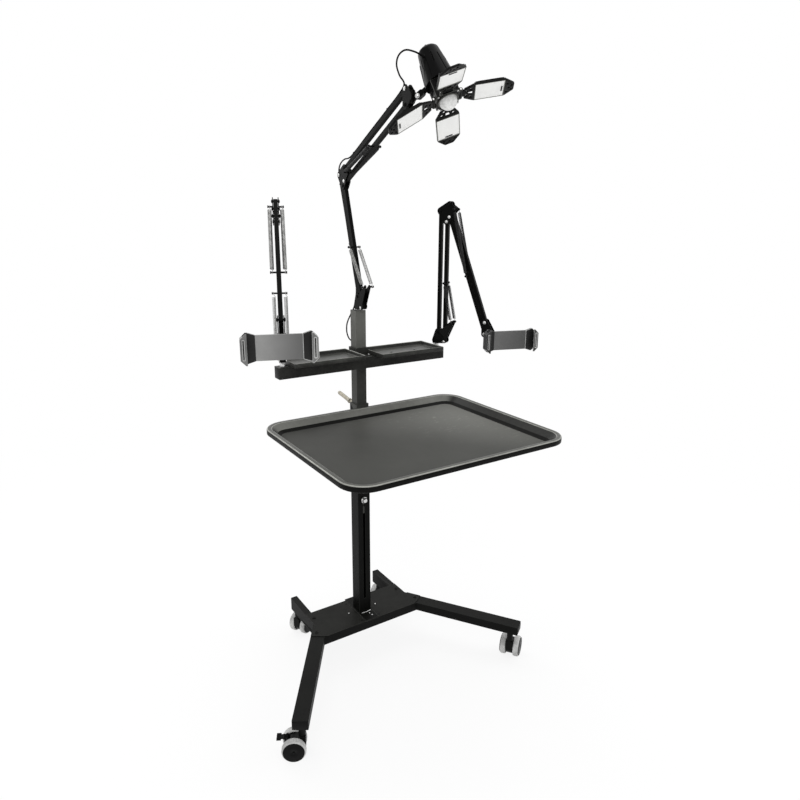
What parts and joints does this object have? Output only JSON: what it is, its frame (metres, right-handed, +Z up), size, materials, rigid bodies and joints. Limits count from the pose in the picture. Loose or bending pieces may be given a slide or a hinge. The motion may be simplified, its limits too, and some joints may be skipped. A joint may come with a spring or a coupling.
{
  "type": "mobile tattoo workstation stand",
  "caption": "Rolling stand with a telescopic column, a work tray, small shelf trays on a crossbar, spring-balanced tablet arms and a spring-balanced lamp with folding leaves",
  "frame": {"origin": "on the floor, on the axis of the column", "axes": "+Z up, -Y to the side of the work tray, +X along the crossbar to the right of somebody who faces the tray from the column"},
  "size_m": [0.8488, 0.7051, 1.6228],
  "materials": {
    "frame_black": "satin",
    "deck_charcoal": "satin",
    "tray_dark": "satin",
    "shelf_black": "satin",
    "arm_black": "satin",
    "bright_steel": "polished",
    "spring_steel": "bright",
    "screw_chrome": "polished",
    "castor_black": "matte",
    "castor_grey": "satin",
    "holder_charcoal": "satin",
    "lamp_black": "gloss",
    "hub_black": "matte",
    "leaf_white": "satin",
    "cable_black": "matte"
  },
  "bodies": {
    "base": {"base_side_left": "frame_black", "base_side_right": "frame_black", "base_deck": "deck_charcoal", "column_lower": "frame_black"},
    "castor_fl": {"castor_fl_body": "castor_black"},
    "castor_fl_wheels": {"castor_fl_wheels": "castor_grey"},
    "castor_fl_pedal": {"castor_fl_pedal": "castor_black"},
    "castor_fr": {"castor_fr_body": "castor_black"},
    "castor_fr_wheels": {"castor_fr_wheels": "castor_grey"},
    "castor_rl": {"castor_rl_body": "castor_black"},
    "castor_rl_wheels": {"castor_rl_wheels": "castor_grey"},
    "castor_rr": {"castor_rr_body": "castor_black"},
    "castor_rr_wheels": {"castor_rr_wheels": "castor_grey"},
    "post": {"column_upper": "frame_black", "crossbar": "frame_black", "shelves": "shelf_black", "lamp_cable": "cable_black"},
    "height_knob": {"height_knob": "bright_steel"},
    "tray_unit": {"tray": "tray_dark", "tray_bracket": "frame_black"},
    "clamp_screw": {"clamp_screw": "screw_chrome"},
    "left_yoke": {"left_yoke": "arm_black"},
    "left_lower_bar": {"left_lower_bar": "arm_black"},
    "left_lower_link": {"left_lower_link": "arm_black", "left_lower_springs": "spring_steel"},
    "left_elbow": {"left_elbow": "arm_black"},
    "left_upper_bar": {"left_upper_bar": "arm_black"},
    "left_upper_link": {"left_upper_link": "arm_black", "left_upper_springs": "spring_steel"},
    "left_head": {"left_head": "arm_black"},
    "right_yoke": {"right_yoke": "arm_black"},
    "right_lower_bar": {"right_lower_bar": "arm_black"},
    "right_lower_link": {"right_lower_link": "arm_black", "right_lower_springs": "spring_steel"},
    "right_elbow": {"right_elbow": "arm_black"},
    "right_upper_bar": {"right_upper_bar": "arm_black"},
    "right_upper_link": {"right_upper_link": "arm_black", "right_upper_springs": "spring_steel"},
    "right_head": {"right_head": "arm_black"},
    "lamp_yoke": {"lamp_yoke": "arm_black"},
    "lamp_lower_bar": {"lamp_lower_bar": "arm_black"},
    "lamp_lower_link": {"lamp_lower_link": "arm_black", "lamp_lower_springs": "spring_steel"},
    "lamp_elbow": {"lamp_elbow": "arm_black"},
    "lamp_upper_bar": {"lamp_upper_bar": "arm_black"},
    "lamp_upper_link": {"lamp_upper_link": "arm_black", "lamp_upper_springs": "spring_steel"},
    "lamp_head": {"lamp_head": "arm_black"},
    "left_stem": {"left_stem": "arm_black"},
    "left_cradle": {"left_cradle": "holder_charcoal"},
    "left_jaw": {"left_jaw": "holder_charcoal"},
    "right_stem": {"right_stem": "arm_black"},
    "right_cradle": {"right_cradle": "holder_charcoal"},
    "right_jaw": {"right_jaw": "holder_charcoal"},
    "lamp_shade": {"lamp_shade": "lamp_black", "lamp_hub": "hub_black"},
    "leaf_right": {"leaf_right": "leaf_white"},
    "leaf_back": {"leaf_back": "leaf_white"},
    "leaf_left": {"leaf_left": "leaf_white"},
    "leaf_front": {"leaf_front": "leaf_white"}
  },
  "joints": [
    {"name": "castor_fl_swivel", "type": "hinge", "parent": "base", "child": "castor_fl", "pos_m": [-0.33726, -0.29752, 0.03], "axis": [0, 0, 1], "continuous": true},
    {"name": "castor_fl_roll", "type": "hinge", "parent": "castor_fl", "child": "castor_fl_wheels", "pos_m": [-0.35492, -0.28813, 0.03], "axis": [-0.4695, -0.8829, 0], "continuous": true},
    {"name": "castor_fl_brake", "type": "hinge", "parent": "castor_fl", "child": "castor_fl_pedal", "pos_m": [-0.36993, -0.28015, 0.051], "axis": [-0.4695, -0.8829, 0], "range_deg": [0, 12]},
    {"name": "castor_fr_swivel", "type": "hinge", "parent": "base", "child": "castor_fr", "pos_m": [0.33726, -0.29752, 0.03], "axis": [0, 0, 1], "continuous": true},
    {"name": "castor_fr_roll", "type": "hinge", "parent": "castor_fr", "child": "castor_fr_wheels", "pos_m": [0.35365, -0.28605, 0.03], "axis": [-0.5736, 0.8192, 0], "continuous": true},
    {"name": "castor_rl_swivel", "type": "hinge", "parent": "base", "child": "castor_rl", "pos_m": [-0.149, 0.147, 0.03], "axis": [0, 0, 1], "continuous": true},
    {"name": "castor_rl_roll", "type": "hinge", "parent": "castor_rl", "child": "castor_rl_wheels", "pos_m": [-0.13168, 0.157, 0.03], "axis": [-0.5, 0.866, 0], "continuous": true},
    {"name": "castor_rr_swivel", "type": "hinge", "parent": "base", "child": "castor_rr", "pos_m": [0.149, 0.147, 0.03], "axis": [0, 0, 1], "continuous": true},
    {"name": "castor_rr_roll", "type": "hinge", "parent": "castor_rr", "child": "castor_rr_wheels", "pos_m": [0.16432, 0.15986, 0.03], "axis": [-0.6428, 0.766, 0], "continuous": true},
    {"name": "column_slide", "type": "slide", "parent": "base", "child": "post", "axis": [0, 0, 1], "range_m": [-0.12, 0]},
    {"name": "height_knob_turn", "type": "hinge", "parent": "post", "child": "height_knob", "pos_m": [0, -0.02, 0.489], "axis": [0, -1, 0], "range_deg": [0, 360]},
    {"name": "tray_slide", "type": "slide", "parent": "post", "child": "tray_unit", "axis": [0, 0, 1], "range_m": [-0.07, 0.05]},
    {"name": "clamp_screw_turn", "type": "hinge", "parent": "tray_unit", "child": "clamp_screw", "pos_m": [0, 0.05926, 0.76876], "axis": [0, 0.9877, 0.1564], "range_deg": [0, 360]},
    {"name": "left_swivel", "type": "hinge", "parent": "post", "child": "left_yoke", "pos_m": [-0.235, -0.0343, 0.927], "axis": [0, 0, 1], "range_deg": [-45, 45]},
    {"name": "left_lower_hinge", "type": "hinge", "parent": "left_yoke", "child": "left_lower_bar", "pos_m": [-0.23843, -0.04262, 0.962], "axis": [-0.9245, 0.3811, 0], "range_deg": [-20, 16], "deforming": ["left_lower_springs"]},
    {"name": "left_lower_link_hinge", "type": "hinge", "parent": "left_yoke", "child": "left_lower_link", "pos_m": [-0.24567, -0.06019, 0.934], "axis": [-0.9245, 0.3811, 0], "range_deg": [-20, 16]},
    {"name": "left_elbow_hinge", "type": "hinge", "parent": "left_lower_bar", "child": "left_elbow", "pos_m": [-0.23843, -0.04262, 1.29], "axis": [-0.9245, 0.3811, 0], "range_deg": [-16, 20]},
    {"name": "left_upper_hinge", "type": "hinge", "parent": "left_elbow", "child": "left_upper_bar", "pos_m": [-0.24872, -0.06758, 1.306], "axis": [-0.9245, 0.3811, 0], "range_deg": [-24, 20], "deforming": ["left_upper_springs"]},
    {"name": "left_upper_link_hinge", "type": "hinge", "parent": "left_elbow", "child": "left_upper_link", "pos_m": [-0.24872, -0.06758, 1.274], "axis": [-0.9245, 0.3811, 0], "range_deg": [-24, 20]},
    {"name": "left_head_hinge", "type": "hinge", "parent": "left_upper_bar", "child": "left_head", "pos_m": [-0.33586, -0.279, 1.07085], "axis": [-0.9245, 0.3811, 0], "range_deg": [-20, 24]},
    {"name": "left_stem_tilt", "type": "hinge", "parent": "left_head", "child": "left_stem", "pos_m": [-0.345, -0.30119, 1.03085], "axis": [-0.9245, 0.3811, 0], "range_deg": [-30, 30]},
    {"name": "left_cradle_turn", "type": "hinge", "parent": "left_stem", "child": "left_cradle", "pos_m": [-0.36253, -0.34372, 1.03085], "axis": [-0.3256, -0.9455, 0], "range_deg": [-90, 90]},
    {"name": "left_jaw_slide", "type": "slide", "parent": "left_cradle", "child": "left_jaw", "axis": [0.9455, -0.3256, 0], "range_m": [0, 0.045], "stiffness_N_per_m": 150, "springref_m": -0.02},
    {"name": "right_swivel", "type": "hinge", "parent": "post", "child": "right_yoke", "pos_m": [0.235, -0.0343, 0.927], "axis": [0, 0, 1], "range_deg": [-45, 45]},
    {"name": "right_lower_hinge", "type": "hinge", "parent": "right_yoke", "child": "right_lower_bar", "pos_m": [0.23922, -0.04225, 0.962], "axis": [-0.8829, -0.4695, 0], "range_deg": [-20, 14], "deforming": ["right_lower_springs"]},
    {"name": "right_lower_link_hinge", "type": "hinge", "parent": "right_yoke", "child": "right_lower_link", "pos_m": [0.24815, -0.05902, 0.934], "axis": [-0.8829, -0.4695, 0], "range_deg": [-20, 14]},
    {"name": "right_elbow_hinge", "type": "hinge", "parent": "right_lower_bar", "child": "right_elbow", "pos_m": [0.23922, -0.04225, 1.29], "axis": [-0.8829, -0.4695, 0], "range_deg": [-14, 20]},
    {"name": "right_upper_hinge", "type": "hinge", "parent": "right_elbow", "child": "right_upper_bar", "pos_m": [0.2519, -0.06609, 1.306], "axis": [-0.8829, -0.4695, 0], "range_deg": [0, 35], "deforming": ["right_upper_springs"]},
    {"name": "right_upper_link_hinge", "type": "hinge", "parent": "right_elbow", "child": "right_upper_link", "pos_m": [0.2519, -0.06609, 1.274], "axis": [-0.8829, -0.4695, 0], "range_deg": [0, 35]},
    {"name": "right_head_hinge", "type": "hinge", "parent": "right_upper_bar", "child": "right_head", "pos_m": [0.30507, -0.16609, 0.99817], "axis": [-0.8829, -0.4695, 0], "range_deg": [-35, 0]},
    {"name": "right_stem_tilt", "type": "hinge", "parent": "right_head", "child": "right_stem", "pos_m": [0.31634, -0.18728, 0.95817], "axis": [-0.8829, -0.4695, 0], "range_deg": [-30, 30]},
    {"name": "right_cradle_turn", "type": "hinge", "parent": "right_stem", "child": "right_cradle", "pos_m": [0.33793, -0.22789, 0.95817], "axis": [-0.309, -0.9511, 0], "range_deg": [-90, 90]},
    {"name": "right_jaw_slide", "type": "slide", "parent": "right_cradle", "child": "right_jaw", "axis": [0.9511, -0.309, 0], "range_m": [0, 0.045], "stiffness_N_per_m": 150, "springref_m": -0.02},
    {"name": "lamp_swivel", "type": "hinge", "parent": "post", "child": "lamp_yoke", "pos_m": [0, 0, 1.036], "axis": [0, 0, 1], "range_deg": [-100, 100], "deforming": ["lamp_cable"]},
    {"name": "lamp_lower_hinge", "type": "hinge", "parent": "lamp_yoke", "child": "lamp_lower_bar", "pos_m": [0, -0.009, 1.071], "axis": [-1, 0, 0], "range_deg": [-12, 0], "deforming": ["lamp_lower_springs"]},
    {"name": "lamp_lower_link_hinge", "type": "hinge", "parent": "lamp_yoke", "child": "lamp_lower_link", "pos_m": [0, -0.028, 1.043], "axis": [-1, 0, 0], "range_deg": [-12, 0]},
    {"name": "lamp_elbow_hinge", "type": "hinge", "parent": "lamp_lower_bar", "child": "lamp_elbow", "pos_m": [0, 0.0792, 1.3786], "axis": [-1, 0, 0], "range_deg": [0, 12]},
    {"name": "lamp_upper_hinge", "type": "hinge", "parent": "lamp_elbow", "child": "lamp_upper_bar", "pos_m": [0, 0.0522, 1.3946], "axis": [-1, 0, 0], "range_deg": [-12, 15], "deforming": ["lamp_upper_springs"]},
    {"name": "lamp_upper_link_hinge", "type": "hinge", "parent": "lamp_elbow", "child": "lamp_upper_link", "pos_m": [0, 0.0522, 1.3626], "axis": [-1, 0, 0], "range_deg": [-12, 15]},
    {"name": "lamp_head_hinge", "type": "hinge", "parent": "lamp_upper_bar", "child": "lamp_head", "pos_m": [0, -0.23266, 1.54038], "axis": [-1, 0, 0], "range_deg": [-15, 12]},
    {"name": "lamp_tilt_hinge", "type": "hinge", "parent": "lamp_head", "child": "lamp_shade", "pos_m": [0.00834, -0.26332, 1.52238], "axis": [-0.8536, -0.521, 0], "range_deg": [-20, 20]},
    {"name": "leaf_right_hinge", "type": "hinge", "parent": "lamp_shade", "child": "leaf_right", "pos_m": [0.06158, -0.34011, 1.52261], "axis": [0.5367, 0.7495, -0.3875], "range_deg": [-12, 50]},
    {"name": "leaf_back_hinge", "type": "hinge", "parent": "lamp_shade", "child": "leaf_back", "pos_m": [0.05251, -0.30487, 1.50081], "axis": [-0.839, 0.4254, -0.3393], "range_deg": [-12, 50]},
    {"name": "leaf_left_hinge", "type": "hinge", "parent": "lamp_shade", "child": "leaf_left", "pos_m": [0.01124, -0.31459, 1.50226], "axis": [-0.5367, -0.7495, 0.3875], "range_deg": [-12, 50]},
    {"name": "leaf_front_hinge", "type": "hinge", "parent": "lamp_shade", "child": "leaf_front", "pos_m": [0.02031, -0.34984, 1.52406], "axis": [0.839, -0.4254, 0.3393], "range_deg": [-12, 50]}
  ],
  "couplings": [
    {"joint": "left_lower_link_hinge", "follows": "left_lower_hinge", "ratio": 1},
    {"joint": "left_elbow_hinge", "follows": "left_lower_hinge", "ratio": -1},
    {"joint": "left_upper_link_hinge", "follows": "left_upper_hinge", "ratio": 1},
    {"joint": "left_head_hinge", "follows": "left_upper_hinge", "ratio": -1},
    {"joint": "right_lower_link_hinge", "follows": "right_lower_hinge", "ratio": 1},
    {"joint": "right_elbow_hinge", "follows": "right_lower_hinge", "ratio": -1},
    {"joint": "right_upper_link_hinge", "follows": "right_upper_hinge", "ratio": 1},
    {"joint": "right_head_hinge", "follows": "right_upper_hinge", "ratio": -1},
    {"joint": "lamp_lower_link_hinge", "follows": "lamp_lower_hinge", "ratio": 1},
    {"joint": "lamp_elbow_hinge", "follows": "lamp_lower_hinge", "ratio": -1},
    {"joint": "lamp_upper_link_hinge", "follows": "lamp_upper_hinge", "ratio": 1},
    {"joint": "lamp_head_hinge", "follows": "lamp_upper_hinge", "ratio": -1}
  ]
}
